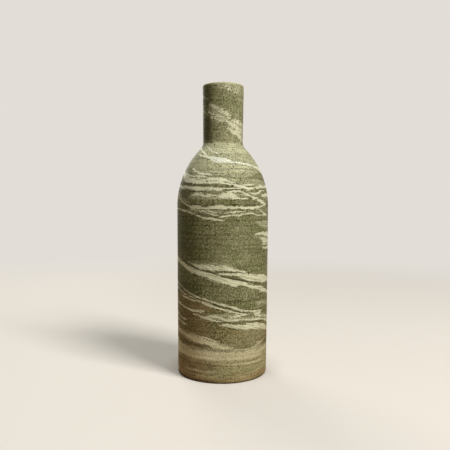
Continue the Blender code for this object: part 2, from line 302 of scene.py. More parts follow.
# The same on the far side, where the angle counts from the middle of the back. The veins go on
# round the pot and sink to the ones that start again at the left of the front.
BACK_VEINS = [
    [(-96, 197.6, 4), (-72, 196, 4), (-48, 196.4, 2.6), (-20, 201, 1.6), (10, 208, 2.8), (40, 214, 4),
     (66, 218, 1.6), (86, 219.4, 0.7)],
    [(-96, 181.4, 3), (-68, 182.8, 4), (-46, 185, 5), (-28, 187.2, 3), (-8, 188.6, 1.8), (14, 190.6, 4.4),
     (32, 193, 5.6), (50, 194.6, 4), (86, 196.4, 1.6)],
    [(-90, 177.6, 1.4), (-70, 178.6, 2.4), (-52, 180.6, 1.2), (-36, 181.6, 2.2), (-18, 182.4, 3.4),
     (0, 183.4, 2), (16, 185, 0.8)],
    [(-64, 178, 0.6), (-30, 177, 1.6), (0, 178, 1.6), (30, 180, 2), (60, 181, 1.6), (86, 181, 1.8)],
    [(-24, 171.8, 0.6), (-14, 172.4, 2.6), (-5, 173.4, 5.6), (4, 174.2, 6), (12, 174, 3.6),
     (22, 173.6, 1.8), (34, 174.6, 0.8)],
    [(8, 168.4, 0.6), (22, 169.6, 2.2), (36, 171.4, 3.6), (50, 172.4, 1.8), (62, 172.2, 0.8)],
    [(-86, 173, 2.4), (-68, 171, 3.8), (-50, 168.8, 2), (-32, 167, 3.2), (-10, 166, 1.8), (10, 164, 3.8),
     (28, 162.6, 2.6), (55, 161.6, 1.6), (86, 160.6, 1.6)],
    [(-86, 163.6, 2), (-72, 161.8, 1.6), (-60, 161, 0.6)],
    [(-56, 164.4, 0.6), (-42, 163.2, 1.8), (-26, 162.4, 1.2), (-12, 161.4, 2.2), (4, 160.2, 1.4),
     (22, 158.6, 2), (38, 157.8, 0.8)],
    [(-52, 158.6, 0.6), (-28, 157.2, 2), (0, 155, 1.4), (26, 152, 2), (44, 150.6, 0.6)],
    [(-24, 145, 0.6), (-2, 142, 2), (22, 138.6, 1.2), (40, 137, 0.5)],
    [(-86, 138.6, 1), (-64, 136.8, 2.2), (-44, 133.6, 3.4), (-26, 131, 2), (-8, 129.2, 0.8)],
    [(-86, 134.4, 4), (-62, 130.4, 5.4), (-38, 127, 3.4), (-14, 123.6, 4.2), (10, 120.6, 5.4),
     (34, 118.2, 4.2), (60, 116, 4.6), (86, 114.2, 3.4)],
    [(-30, 120.4, 0.6), (-12, 117.6, 1.8), (6, 115.2, 2.8), (22, 113.2, 4), (40, 111.8, 2.4),
     (58, 110.4, 0.8)],
    [(-86, 122.6, 2), (-56, 117.4, 2.6), (-30, 111.6, 1.6), (0, 105.6, 2.2), (30, 99, 2.8), (60, 93.6, 2.2),
     (86, 90.2, 2.6)],
    [(-60, 93.6, 0.6), (-46, 91, 2), (-30, 88.4, 3.4), (-14, 85.4, 4), (0, 83, 2.2), (16, 81.4, 0.8)],
    [(-40, 107.6, 0.6), (-20, 103, 2.2), (5, 97.2, 3.4), (30, 91.2, 2.6), (55, 87, 1.6), (86, 84.2, 2)],
    [(-86, 91.6, 4), (-68, 88, 4.6), (-48, 84.4, 4.6), (-25, 81, 3.2), (0, 78.5, 1.8), (25, 77, 1.4),
     (50, 75, 1.4), (86, 73.2, 1.4)],
    [(-86, 76.9, 4), (-70, 73, 4.6), (-45, 68, 3.2), (-20, 62.6, 2.4), (10, 56.4, 3.2), (40, 51.5, 4.2),
     (64, 49, 4), (86, 47.2, 3.6)],
    [(-34, 70.4, 0.6), (-14, 69.2, 1.8), (6, 67, 1.4), (24, 64.4, 2), (40, 63.4, 0.6)],
    [(30, 66.4, 0.6), (46, 63.6, 2), (66, 61.4, 1.4), (86, 60.4, 2)],
    [(-22, 57.6, 0.6), (-6, 54.6, 2), (10, 51.4, 3.2), (24, 48.8, 1.8), (36, 47.2, 0.6)],
    [(-86, 54.4, 1.8), (-66, 55, 1.4), (-44, 51.4, 2.4), (-20, 46, 3.4), (6, 42.6, 2), (24, 41.4, 0.6)],
    [(-86, 42.2, 3.2), (-68, 38, 2.6), (-40, 34.4, 2), (-10, 32.6, 3), (20, 33, 3.4), (52, 34.2, 4),
     (86, 34.6, 4)],
    [(-96, 239, 3), (-70, 236, 3.4), (-44, 232, 2), (-20, 230, 0.6)],
    [(-40, 248, 0.6), (-14, 255, 3.2), (14, 259, 4.2), (50, 259.6, 3.6), (86, 259, 2.4), (110, 258.8, 1.4),
     (138, 259, 1.4)],
    [(-30, 245, 0.6), (-8, 249.4, 2), (16, 252.6, 3.4), (44, 253, 2.4), (70, 251.6, 0.8)],
    [(10, 266, 0.6), (40, 268.6, 2.4), (86, 270, 3)],
    [(-60, 262, 0.6), (-34, 264.4, 2), (-8, 268.4, 2.2), (20, 273, 0.8)],
]
BACK_BANDS = [
    [(-96, 176, 4), (-70, 176, 10), (-40, 177.6, 9), (-10, 178.4, 8), (20, 176.6, 9), (50, 176.6, 10),
     (94, 175, 3)],
    [(-96, 166, 4), (-60, 163.6, 9), (-20, 162, 8), (20, 160.4, 7), (60, 159.6, 5), (94, 159, 2)],
    [(-94, 190, 3), (-50, 189.6, 5), (-10, 193, 7), (30, 196.6, 8), (70, 195, 7), (94, 193, 3)],
    [(-94, 133, 6), (-60, 132.4, 9), (-30, 129.6, 6), (-10, 126, 2)],
    [(-30, 118.4, 1), (0, 117, 5), (30, 114.6, 6), (56, 112, 1)],
    [(-94, 93, 3), (-60, 91, 8), (-30, 86.6, 7), (0, 82.6, 4), (16, 80.6, 1)],
    [(-40, 63, 1), (-10, 59.4, 5), (20, 53.8, 6), (50, 50.4, 4), (70, 48.6, 1)],
    [(-40, 247, 2), (-10, 252, 9), (30, 256, 11), (70, 256, 9), (110, 256, 3)],
]
BACK_THREADS = [
    [(-88, 180, 0.6), (-60, 181, 1.2), (-34, 183.8, 1.6), (-6, 185.8, 1.6), (20, 187.6, 1.6),
     (44, 190.4, 0.6)],
    [(-70, 174.6, 0.6), (-44, 172, 1.4), (-18, 169.6, 1.6), (4, 168.6, 1.4), (26, 166.4, 1.4),
     (48, 165, 0.6)],
    [(-60, 166.4, 0.6), (-40, 165, 1), (-16, 163.8, 1), (10, 161.6, 1.2), (30, 160.4, 0.6)],
    [(-80, 135.4, 0.8), (-56, 132.8, 1.4), (-34, 129.6, 1.6), (-12, 126.8, 0.6)],
    [(-24, 119.8, 0.6), (0, 118.4, 1.6), (24, 116, 1.8), (46, 114.2, 0.6)],
    [(-66, 91.2, 0.6), (-44, 88, 1.6), (-20, 83.8, 1.8), (4, 81.2, 0.6)],
    [(-46, 105.2, 0.6), (-10, 100.6, 1.2), (20, 95.6, 1.6), (50, 90.4, 1.2), (72, 87.6, 0.5)],
    [(-60, 71.6, 0.6), (-30, 66.4, 1.4), (-4, 60.6, 1.6), (20, 55.6, 1.6), (46, 53.4, 0.6)],
    [(-70, 39.8, 0.6), (-44, 36.8, 1.8), (-14, 35.4, 2), (16, 35.8, 1.6), (44, 37, 0.6)],
]
UNDERSIDE_VEINS = [
    [(-150, -6, 0.6), (-96, -10, 3), (-30, -15, 4), (40, -20, 3.4), (100, -27, 2.6), (150, -33, 0.8)],
    [(-60, -24, 0.6), (0, -27, 2.4), (70, -34, 3), (130, -38, 0.8)],
    [(20, -4, 0.5), (70, -7, 2), (130, -9, 2.4), (165, -11, 0.6)],
]

# The white veins that count from the front, in the order that they are laid
FRONT_VEINS = [NECK_VEINS, SHOULDER_VEINS, UPPER_BODY_VEINS, MIDDLE_VEINS, LOWER_VEINS, FOOT_VEINS,
               UNDERSIDE_VEINS]

# Broad bands where the two clays are wedged together into a paler green
MIXED_BANDS = [
    [(-180, 277.8, 5), (-60, 279, 2.4), (-26, 278.4, 3.4), (0, 276.4, 8), (40, 276, 9), (80, 276.6, 8),
     (180, 277.4, 6)],
    [(-30, 274.6, 1), (0, 274, 5), (30, 272.6, 5), (60, 271, 3), (90, 270, 1)],
    [(-44, 257, 3), (-26, 254, 11), (-8, 249, 13), (8, 245.6, 12), (22, 241, 12), (38, 238, 12),
     (60, 236.4, 12), (90, 235, 9), (124, 232, 3)],
    [(-180, 216.4, 16), (-60, 216.4, 16), (0, 215.6, 19), (60, 214, 20), (180, 216.4, 16)],
    # This band round the shoulder is partly mixed clay and partly painted light from above
    [(-180, 201, 17), (-80, 201, 15), (-50, 201, 16), (-20, 200, 17), (0, 198.6, 20), (30, 198, 20),
     (48, 200, 17), (70, 202, 14), (120, 201, 15), (180, 201, 17)],
    [(-86, 174, 2), (-70, 172.4, 9), (-58, 168.6, 8), (-46, 166, 5), (-36, 164.6, 1)],
    [(44, 147.6, 2), (57, 146.4, 8), (72, 146, 9), (92, 146, 5), (110, 146, 1)],
    [(-44, 113, 1), (-26, 110.8, 4), (-8, 110, 5), (6, 109.4, 4), (16, 106.4, 3), (26, 104, 1)],
    [(-6, 17.2, 0.6), (12, 17.4, 2.2), (28, 17.2, 3), (44, 17.4, 3.8), (64, 17.6, 3), (90, 17, 1)],
    [(-62, 10.8, 0.8), (-47, 11, 2.2), (-32, 11, 3), (-17, 11, 3.2), (-2, 11.6, 2.4), (12, 12, 1.4),
     (24, 12, 0.6)],
    [(-96, 111.4, 3), (-78, 111, 5), (-62, 108.6, 5), (-48, 106.6, 4), (-36, 105, 2.4), (-28, 103.6, 1)],
    [(-80, 191, 4), (-50, 190.6, 9), (-30, 190.4, 10), (-16, 189.4, 8), (4, 188, 7), (28, 185, 6),
     (46, 185, 9), (60, 184.4, 10), (76, 183, 7), (96, 182, 4)],
    [(-52, 172, 1), (-42, 172.4, 6), (-30, 172.4, 8.4), (-16, 172.2, 7), (4, 172.4, 8), (20, 173, 7),
     (40, 174, 5), (60, 172, 5), (90, 171, 3)],
    [(-64, 187, 3), (-48, 186.6, 5), (-30, 187, 6.6), (-14, 187, 3), (-4, 186, 1)],
    [(-56, 179.6, 2), (-40, 179, 6), (-26, 178.8, 8), (-10, 178.2, 8), (4, 178.6, 4)],
    [(-58, 159, 2), (-30, 158, 6), (-8, 158, 5.4), (8, 158.4, 3.4), (22, 158.4, 4.4), (40, 158, 4),
     (64, 159, 3), (90, 160, 2)],
    [(40, 136, 2), (60, 133, 6), (90, 130, 5), (120, 129, 2)],
    [(-20, 63, 3), (0, 62, 9), (16, 61.4, 11), (30, 61, 11), (50, 59.4, 10), (74, 56, 6), (100, 54, 2)],
    [(-74, 213, 3), (-50, 213.4, 8), (-36, 213, 8), (-20, 211, 3)],
    [(-64, 193, 4), (-46, 192.4, 8), (-32, 191.4, 6), (-20, 191, 2)],
    [(44, 72, 1), (56, 71.8, 7), (72, 70.6, 6), (96, 69, 1)],
    [(40, 265.6, 1), (54, 264.6, 5), (68, 263.6, 5), (88, 262.6, 1)],
    [(-180, 26, 10), (-70, 27, 11.6), (-45, 27, 12.4), (-28, 26.8, 12.6), (-8, 27, 13.4), (10, 26.6, 13),
     (30, 26, 12), (50, 27, 11.6), (62, 28, 9), (80, 28, 7), (120, 27, 10), (180, 26, 10)],
    [(-112, 45.4, 3), (-86, 45, 7), (-66, 43.4, 8), (-44, 41.4, 8.6), (-26, 39.4, 9.4), (-10, 36.8, 9),
     (4, 34.4, 8), (16, 32.4, 4), (28, 31.4, 1)],
]

# Threads of darker clay that part the white strands
DARK_THREADS = [
    [(-50, 109.4, 0.6), (-38, 107.2, 1.4), (-26, 105, 1.5), (-15, 103.2, 2), (-6, 100.8, 2.2), (4, 98.6, 2),
     (14, 97.2, 1.8), (25, 95.3, 1.6), (36, 93.2, 1.4), (46, 91.2, 1.4), (56, 89.2, 1.5), (64, 88, 0.7)],
    [(-6, 103.8, 0.5), (6, 103.4, 1), (20, 102.4, 1), (30, 101.4, 0.4)],
    [(-17, 109.4, 0.4), (-13, 107.4, 0.8), (-7, 106.2, 0.7), (2, 105.6, 0.4)],
    [(-34, 108.6, 0.3), (-24, 106.6, 0.6), (-15, 106, 0.3)],
    [(34, 97.4, 0.3), (48, 95.4, 0.6), (62, 93.6, 0.4)],
    [(-68, 86, 0.6), (-48, 81.4, 1.2), (-26, 76.8, 1.2), (-6, 72.6, 1.6), (8, 69.9, 1.6), (22, 66.4, 1.4),
     (36, 64.8, 1), (42, 63.8, 0.5)],
    [(22, 61.2, 0.5), (32, 61.4, 2), (39, 62.4, 1.8), (44, 60.6, 1), (52, 58.4, 1), (60, 57, 0.5)],
    [(-10, 57.4, 0.5), (6, 57.2, 1.1), (26, 57, 1), (44, 55.8, 1), (58, 54.2, 2), (66, 52.6, 0.6)],
    [(-84, 38.2, 0.6), (-60, 36.4, 1.8), (-42, 34.8, 2.2), (-30, 33.6, 2.2), (-21, 32.3, 1.6),
     (-12, 31.3, 0.9), (-4, 30.9, 0.3)],
    [(4, 33.4, 0.4), (18, 32.6, 0.8), (28, 32.1, 1.1), (40, 32.6, 0.8), (48, 33.2, 0.3)],
    [(-80, 1.2, 0.8), (-56, 1.4, 2.6), (-30, 1.2, 2), (-12, 0.8, 1), (0, 0.6, 0.3)],
    [(34, 0.8, 0.3), (46, 1.6, 2.2), (58, 1.8, 1.8), (70, 1.6, 0.6)],
    [(-66, 184.4, 1), (-50, 183.6, 2.2), (-36, 182.6, 1.8), (-18, 182, 1.2), (0, 181.6, 1),
     (20, 180.8, 0.7), (30, 178.4, 0.5)],
    [(-60, 178.6, 1), (-44, 177.2, 1.6), (-30, 176.2, 1), (-9, 176.6, 1), (4, 177.8, 0.9), (22, 178.2, 0.7),
     (32, 175.4, 0.5)],
    [(30, 174.6, 0.5), (40, 172.6, 1), (50, 171.4, 1), (58, 169.6, 0.5)],
    [(-48, 165.4, 1), (-34, 164.7, 1.4), (-14, 164.6, 1.3), (6, 164.2, 1.3), (24, 164.5, 1.2),
     (42, 164, 1.2), (54, 165.8, 0.6)],
    [(-26, 160, 0.8), (-14, 160.4, 0.9), (2, 160, 1.1), (20, 160, 1.4), (34, 159.4, 1), (44, 159.4, 0.5)],
    [(-44, 154.2, 0.8), (-28, 155.8, 1.2), (-12, 154, 1), (-2, 152.2, 0.6)],
    [(-24, 190.4, 0.5), (-14, 190, 1.3), (-2, 190.2, 1), (6, 189.4, 0.4)],
    [(-32, 178.6, 0.3), (-22, 178.2, 0.5), (-12, 177.8, 0.4), (-5, 177.6, 0.3)],
]

# Painted shade with warm bounce light: the lower left of the pot browner and darker
PAINTED_WARM_SHADE_BANDS = [
    [(-120, 12, 8), (-80, 14, 14), (-50, 14, 16), (-28, 13, 12), (-8, 12, 6), (6, 12, 1)],
    [(-70, 36, 2), (-50, 36, 7), (-30, 34.6, 5), (-14, 33, 2)],
]

# Soft patches of painted light and shade in the clay's colour: darker clay is painted shade on the left
# and on the right, paler clay painted light at the front right, ruddy clay painted warm bounce light at
# the lower left and brown painted shade on the right. Each gives left and right edge in degrees from the
# front, bottom and top in millimetres, and how much of it shows
PATCH_FADE = 8
PATCH_FADE_TURN = 0.05
PAINTED_SHADING_PATCHES = [
    (DARK_CLAY, [(-126, -31, 221, 253, 0.7), (-126, -32, 255, 282, 0.54), (-126, -28, 112, 158, 0.32),
                 (-126, -30, 74, 100, 0.34), (-126, -20, 42, 62, 0.14), (-110, -2, 10, 24, 0.3),
                 (40, 154, 100, 256, 0.15)]),
    (MIXED_CLAY, [(-8, 44, 106, 156, 0.08), (8, 84, 31, 56, 0.14)]),
    (PAINTED_WARM_BOUNCE, [(-150, -12, 22, 84, 0.13)]),
    (PAINTED_SHADE_BROWN, [(40, 154, 20, 100, 0.17), (40, 154, 256, 300, 0.17), (44, 154, -20, 34, 0.08),
                   (62, 140, 200, 258, 0.42)]),
]

# Kinds of socket on a node group
FLOAT = "NodeSocketFloat"
VECTOR = "NodeSocketVector"
COLOUR = "NodeSocketColor"


def shares(steps):
    """Even steps from 0 to 1, both ends included."""
    return [step / steps for step in range(steps + 1)]


def arc(centre_r, centre_z, radius, start, end, steps):
    """Points (r, z) of an arc between two angles, in degrees from the outward axis."""
    angles = [math.radians(start + (end - start) * share) for share in shares(steps)]
    return [(centre_r + radius * math.cos(a), centre_z + radius * math.sin(a)) for a in angles]


def outside_at(bottom, top):
    """Rows of the outer surface between two heights, as (r, z, outward normal r, outward normal z)."""
    rows = []
    for share in shares(round((BODY_HEIGHT - bottom) / ROW_SPACING)):
        z = bottom + (BODY_HEIGHT - bottom) * share
        below = 1 - z / BODY_HEIGHT
        slope = 2 * BASE_TAPER * below / BODY_HEIGHT
        size = math.hypot(1, slope)
        rows.append((BELLY_RADIUS - BASE_TAPER * below ** 2, z, 1 / size, -slope / size))
    for share in shares(round(SHOULDER_ARC * SHOULDER_SWEEP / ROW_SPACING))[1:]:
        nr, nz = math.cos(SHOULDER_SWEEP * share), math.sin(SHOULDER_SWEEP * share)
        rows.append((SHOULDER_CENTRE_R + SHOULDER_ARC * nr, BODY_HEIGHT + SHOULDER_ARC * nz, nr, nz))
    for share in shares(2 * ARC_ROWS)[1:]:
        nr, nz = math.cos(SHOULDER_SWEEP * (1 - share)), math.sin(SHOULDER_SWEEP * (1 - share))
        rows.append((CREASE_CENTRE_R - CREASE_FILLET * nr, NECK_BOTTOM - CREASE_FILLET * nz, nr, nz))
    for share in shares(round((top - NECK_BOTTOM) / ROW_SPACING))[1:]:
        z = NECK_BOTTOM + (top - NECK_BOTTOM) * share
        rows.append((NECK_RADIUS + NECK_FLARE * (z - NECK_BOTTOM) / NECK_LENGTH, z, 1, 0))
    return rows


def inside_at(offset, top):
    """Rows of the inner wall, moved inwards by offset, from the middle of the floor up to top."""
    corner = INNER_CORNER - offset
    floor = FLOOR_TOP + offset
    wall = []
    for r, z, nr, nz in outside_at(floor + corner, top)[::2]:
        share = min(max((z - BODY_HEIGHT) / (NECK_BOTTOM - BODY_HEIGHT), 0), 1)
        thick = BODY_WALL + (NECK_WALL - BODY_WALL) * share * share * (3 - 2 * share) + offset
        wall.append((r - nr * thick, z - nz * thick))
    wall = [(r, z) for r, z in wall if z < top - ROW_SPACING]
    wall.append((NECK_RADIUS + NECK_FLARE - NECK_WALL - offset, top))
    turn = arc(wall[0][0] - corner, floor + corner, corner, -90, 0, ARC_ROWS)
    return [(0, floor), (0.5 * turn[0][0], floor)] + turn[:-1] + wall


def stoneware_rows():
    """Half section of the wall: up the inside, over the lip, down the outside, under the foot."""
    lip_edge = HEIGHT - LIP_ROUNDING
    inside = inside_at(0, lip_edge)
    outside = [(r, z) for r, z, _, _ in outside_at(FOOT_BEVEL_HEIGHT, lip_edge)]
    over = arc(inside[-1][0] + LIP_ROUNDING, lip_edge, LIP_ROUNDING, 180, 90, ARC_ROWS)
    down = arc(outside[-1][0] - LIP_ROUNDING, lip_edge, LIP_ROUNDING, 90, 0, ARC_ROWS)
    foot_r = outside[0][0]
    ring_outer = foot_r - FOOT_BEVEL_WIDTH
    ring_inner = ring_outer - FOOT_RING_WIDTH
    bevel = [(foot_r - inward * FOOT_BEVEL_WIDTH, up * FOOT_BEVEL_HEIGHT) for inward, up in BEVEL_CURVE]
    foot = [
        (ring_outer - RING_ROUNDING, 0.0),
        (ring_inner + RING_ROUNDING, 0.0),
        (ring_inner - RECESS_ROUNDING / 2, RECESS_ROUNDING),
        (ring_inner - RECESS_SLOPE, FOOT_RECESS - RECESS_ROUNDING),
        (ring_inner - RECESS_SLOPE - RECESS_BEND, FOOT_RECESS),
    ]
    recess = [(share * ring_inner, FOOT_RECESS) for share in RECESS_ROWS]
    return inside[:-1] + over + down[:-1] + outside[::-1] + bevel + foot + recess


def lining_rows():
    """Half section of the glaze: its face, a rounded edge under the lip, and a back inside the clay."""
    edge = GLAZE_THICKNESS / 2
    top = HEIGHT - GLAZE_STOP - edge
    face = inside_at(GLAZE_THICKNESS, top)
    back = inside_at(-GLAZE_SUNK, top)
    middle = (face[-1][0] + back[-1][0]) / 2
    round_edge = arc(middle, top, edge + GLAZE_SUNK / 2, 180, 0, ARC_ROWS)
    return face + round_edge[1:-1] + back[::-1]


def ease(value, low, high):
    """Smooth step from 0 at low to 1 at high."""
    share = min(max((value - low) / (high - low), 0), 1)
    return share * share * (3 - 2 * share)


def wheel_marks(angle, r, z):
    """How far the potter's hands left the outer surface from a true turned form."""
    if r < NECK_RADIUS - NECK_WALL / 2 or z < FOOT_BEVEL_HEIGHT:
        return 0
    ends = ease(z, FOOT_BEVEL_HEIGHT, MARKS_START)
    ends *= 1 - ease(z, HEIGHT - MARKS_STOP, HEIGHT - LIP_ROUNDING)
    depth = RIDGE_DEPTH + BASE_RIDGE_DEPTH * (1 - ease(z, *BASE_RIDGE_FADE))
    ridges = sum(strength * math.sin(z * pace + wander * math.sin(z / over + start) + turns * angle)
                 for strength, pace, wander, over, start, turns in RIDGES)
    slow = sum(strength * math.sin(turns * angle + z / over) for strength, turns, over in SWELLINGS)
    return ends * (depth * ridges + OUT_OF_ROUND * slow)


def stoneware_place(angle, r, z):
    """Where a point of the stoneware ends up, with the marks of the wheel and an uneven lip."""
    sag = ease(z, HEIGHT - LIP_SAG_HEIGHT, HEIGHT) * LIP_UNEVEN
    sag *= 0.5 + 0.5 * math.sin(2 * angle + 0.7) * math.cos(angle - 0.4)
    return r + wheel_marks(angle, r, z), z - sag


def lining_place(angle, r, z):
    """Where a point of the glaze ends up: its edge under the lip wanders a little."""
    near_edge = ease(z, HEIGHT - GLAZE_LINE_HEIGHT, HEIGHT - GLAZE_STOP)
    wave = sum(strength * math.sin(turns * angle + start) for strength, turns, start in GLAZE_WAVES)
    return r, z + near_edge * GLAZE_LINE_WAVE * 0.5 * (wave - 1)


def put_in_scene(name, data):
    """A new object in the scene."""
    made = bpy.data.objects.new(name, data)
    bpy.context.scene.collection.objects.link(made)
    return made


def turned(name, rows, place):
    """A closed mesh turned about Z. place(angle, r, z) gives the finished (r, z) of a point."""
    mesh = bpy.data.meshes.new(name)
    model = bmesh.new()
    rings = []
    for r, z in rows:
        if r == 0:
            rings.append([model.verts.new((0, 0, z * MM))])
            continue
        ring = []
        for step in range(FACETS):
            angle = math.tau * step / FACETS
            at_r, at_z = place(angle, r, z)
            x, y = at_r * math.sin(angle), -at_r * math.cos(angle)
            ring.append(model.verts.new((x * MM, y * MM, at_z * MM)))
        rings.append(ring)
    for low, high in zip(rings, rings[1:]):
        for step in range(FACETS):
            after = (step + 1) % FACETS
            if len(low) == 1:
                model.faces.new((low[0], high[step], high[after]))
            elif len(high) == 1:
                model.faces.new((low[step], high[0], low[after]))
            else:
                model.faces.new((low[step], high[step], high[after], low[after]))
    bmesh.ops.recalc_face_normals(model, faces=model.faces)
    model.to_mesh(mesh)
    model.free()
    mesh.shade_smooth()
    return put_in_scene(name, mesh)


def seen(colour):
    """A colour as a viewer sees it, 0 to 255, as the linear values that a shader takes."""
    parts = []
    for part in colour:
        share = part / 255
        parts.append(share / 12.92 if share <= 0.04045 else ((share + 0.055) / 1.055) ** 2.4)
    return (*parts, 1.0)


class Bench:
    """Sets out nodes in one tree. Each method gives back the output that the next node reads."""

    def __init__(self, tree):
        self.tree = tree

    def plug(self, socket, value):
        """Links a socket to a node's output, or sets it to a plain value."""
        if isinstance(value, bpy.types.NodeSocket):
            self.tree.links.new(value, socket)
        else:
            socket.default_value = value

    def fill(self, made, values):
        """Plugs a node's sockets, by name or number."""
        for key, value in values.items():
            self.plug(made.inputs[key], value)

    def give(self, leave, *values):
        """Plugs the outputs of the group, in their order."""
        for socket, value in zip(leave, values):
            self.plug(socket, value)

    def node(self, kind, values, **settings):
        """A node of a kind, with its settings made and its sockets plugged."""
        made = self.tree.nodes.new(kind)
        for key, value in settings.items():
            setattr(made, key, value)
        self.fill(made, values)
        return made

    def first(self, kind, values, **settings):
        """The first output of such a node."""
        return self.node(kind, values, **settings).outputs[0]

    def group(self, tree, *values):
        """The outputs of a node group, placed with its own values."""
        return self.node("ShaderNodeGroup", dict(enumerate(values)), node_tree=tree).outputs

    def math(self, operation, *values):
        """A Math node. Its own clamp stays off: it would make the renderer hold every vein at once."""
        return self.first("ShaderNodeMath", dict(enumerate(values)), operation=operation)

    def times(self, value, by, *plus):
        """A value times another, plus a third if there is one."""
        return self.math("MULTIPLY_ADD" if plus else "MULTIPLY", value, by, *plus)

    def most(self, value, other):
        """The larger of two values."""
        return self.math("MAXIMUM", value, other)

    def within(self, value):
        """A value held between 0 and 1."""
        return self.math("MINIMUM", self.most(value, 0.0), 1.0)

    def step(self, value, low, high, at_high=1.0, at_low=0.0):
        """A smooth step of value, from at_low at low to at_high at high."""
        values = {"Value": value, "From Min": low, "From Max": high, "To Min": at_low, "To Max": at_high}
        return self.first("ShaderNodeMapRange", values, interpolation_type="SMOOTHSTEP", clamp=False)

    def noise(self, vector, scale, detail=2.0, roughness=0.5):
        """Soft noise between 0 and 1."""
        values = {"Vector": vector, "Scale": scale, "Detail": detail, "Roughness": roughness}
        return self.first("ShaderNodeTexNoise", values)

    def drawn_out(self, vector, along, across, detail=2.0, roughness=0.5, shift=0.0):
        """Noise drawn out along the level, with features of two sizes in millimetres, from -1 to 1."""
        values = {0: vector, 1: (1 / along, 1 / along, 1 / across), 2: (shift, shift, shift)}
        scaled = self.first("ShaderNodeVectorMath", values, operation="MULTIPLY_ADD")
        return self.times(self.noise(scaled, 1.0, detail, roughness), 2.0, -1.0)

    def mix(self, share, first, second, blend="MIX"):
        """Two colours mixed."""
        values = {0: share, 6: first, 7: second}
        return self.node("ShaderNodeMix", values, data_type="RGBA", blend_type=blend).outputs[2]

    def paint(self, colour, share, clay):
        """A colour with a share of a clay over it."""
        return self.mix(share, colour, seen(clay))

    def vector(self, x, y, z):
        """Three values as a vector."""
        return self.first("ShaderNodeCombineXYZ", {0: x, 1: y, 2: z})

    def point(self):
        """The place of a point on the mesh, in millimetres."""
        place = self.node("ShaderNodeTexCoord", {}).outputs["Object"]
        return self.first("ShaderNodeVectorMath", {0: place, "Scale": 1 / MM}, operation="SCALE")

    def bump(self, height):
        """The surface normal for a relief in millimetres."""
        return self.first("ShaderNodeBump", {"Strength": 1.0, "Distance": MM, "Height": height})


def new_group(name, inputs, outputs):
    """An empty shader node group. Gives its bench, its inputs and the sockets that it gives back."""
    tree = bpy.data.node_groups.new(name, "ShaderNodeTree")
    for label in inputs:
        tree.interface.new_socket(name=label, in_out="INPUT", socket_type=FLOAT)
    for label, kind in outputs.items():
        tree.interface.new_socket(name=label, in_out="OUTPUT", socket_type=kind)
    entry = tree.nodes.new("NodeGroupInput")
    leave = tree.nodes.new("NodeGroupOutput")
    return Bench(tree), entry.outputs[:len(inputs)], leave.inputs


def place_group():
    """Where a point is on the pot: turns round the front and the back, height, and grain space."""
    outputs = dict.fromkeys(("Front Turn", "Back Turn", "Height", "Level"), FLOAT)
    outputs.update(dict.fromkeys(("Point", "Flow"), VECTOR))
    bench, _, leave = new_group("place on the pot", (), outputs)
    point = bench.point()
    x, y, z = bench.node("ShaderNodeSeparateXYZ", {0: point}).outputs
    front = bench.math("ARCTAN2", x, bench.times(y, -1.0))
    back = bench.math("ARCTAN2", bench.times(x, -1.0), y)
    front, back = [bench.times(angle, 1 / math.tau, 0.5) for angle in (front, back)]
    across = bench.math("SQRT", bench.math("ADD", bench.times(x, x), bench.times(y, y)))
    underside = bench.math("LESS_THAN", z, FOOT_RECESS + 0.1)
    foot_edge = BELLY_RADIUS - BASE_TAPER - FOOT_BEVEL_WIDTH
    inward = bench.most(bench.math("SUBTRACT", foot_edge, across), 0.0)
    height = bench.math("SUBTRACT", z, bench.times(inward, underside))
    lean = bench.step(z, 105, 155, 0.03, 0.26)
    lean = bench.times(lean, bench.step(z, 12, 42))
    level = bench.times(x, lean, z)
    bench.give(leave, front, back, height, level, point, bench.vector(x, y, level))
    return bench.tree


def vein_group():
    """One vein over those below it: how deep a point lies inside its ragged edge, 1 at most.

    The depth is in millimetres where the softness is 1. Outside the vein it is below 0.
    """
    inputs = ("Height", "Middle", "Thickness", "Ragged", "Softness", "Below")
    bench, entry, leave = new_group("clay vein", inputs, {"Depth": FLOAT})
    height, middle, thickness, frayed, softness, below = entry
    middle = bench.times(middle, CURVE_TOP - CURVE_BOTTOM, CURVE_BOTTOM)
    away = bench.math("ABSOLUTE", bench.math("SUBTRACT", height, middle))
    half = bench.times(thickness, CURVE_THICKEST / 2)
    ragged = bench.times(bench.math("MINIMUM", half, FRAYED_HALF), frayed, half)
    inward = bench.math("DIVIDE", bench.math("SUBTRACT", ragged, away), softness)
    bench.give(leave, bench.most(bench.math("MINIMUM", inward, 1.0), below))
    return bench.tree


def curve(bench, turn, points):
    """A Float Curve through points (degrees, value from 0 to 1)."""
    made = bench.node("ShaderNodeFloatCurve", {"Value": turn})
    line = made.mapping.curves[0].points
    line[0].location = (0.0, points[0][1])
    line[1].location = (1.0, points[-1][1])
    for degrees, value in points:
        spot = 0.5 + degrees / 360
        if CURVE_MARGIN < spot < 1 - CURVE_MARGIN:
            line.new(spot, value).handle_type = "AUTO_CLAMPED"
    made.mapping.update()
    return made.outputs[0]


def lay_veins(bench, tree, turn, height, ragged, veins, softness, below=0.0):
    """A chain of veins over what is below. Gives how deep a point lies in any of them.

    The turn takes in a trace of the veins below, too small to move anything. It makes the renderer
    finish one vein before it starts the next, as it has no room to work on all of them at once.
    """
    for points in veins:
        turn = bench.times(below, TRACE, turn)
        heights = [(degrees, (z - CURVE_BOTTOM) / (CURVE_TOP - CURVE_BOTTOM)) for degrees, z, _ in points]
        widths = [(degrees, thick / CURVE_THICKEST) for degrees, _, thick in points]
        first, last = points[0][0], points[-1][0]
        if first > -VEIN_SEAM:
            widths = [(first - VEIN_TAPER, 0.0)] + widths
        if last < VEIN_SEAM:
            widths = widths + [(last + VEIN_TAPER, 0.0)]
        middle = curve(bench, turn, heights)
        below = bench.group(tree, height, middle, curve(bench, turn, widths), ragged, softness, below)[0]
    return below


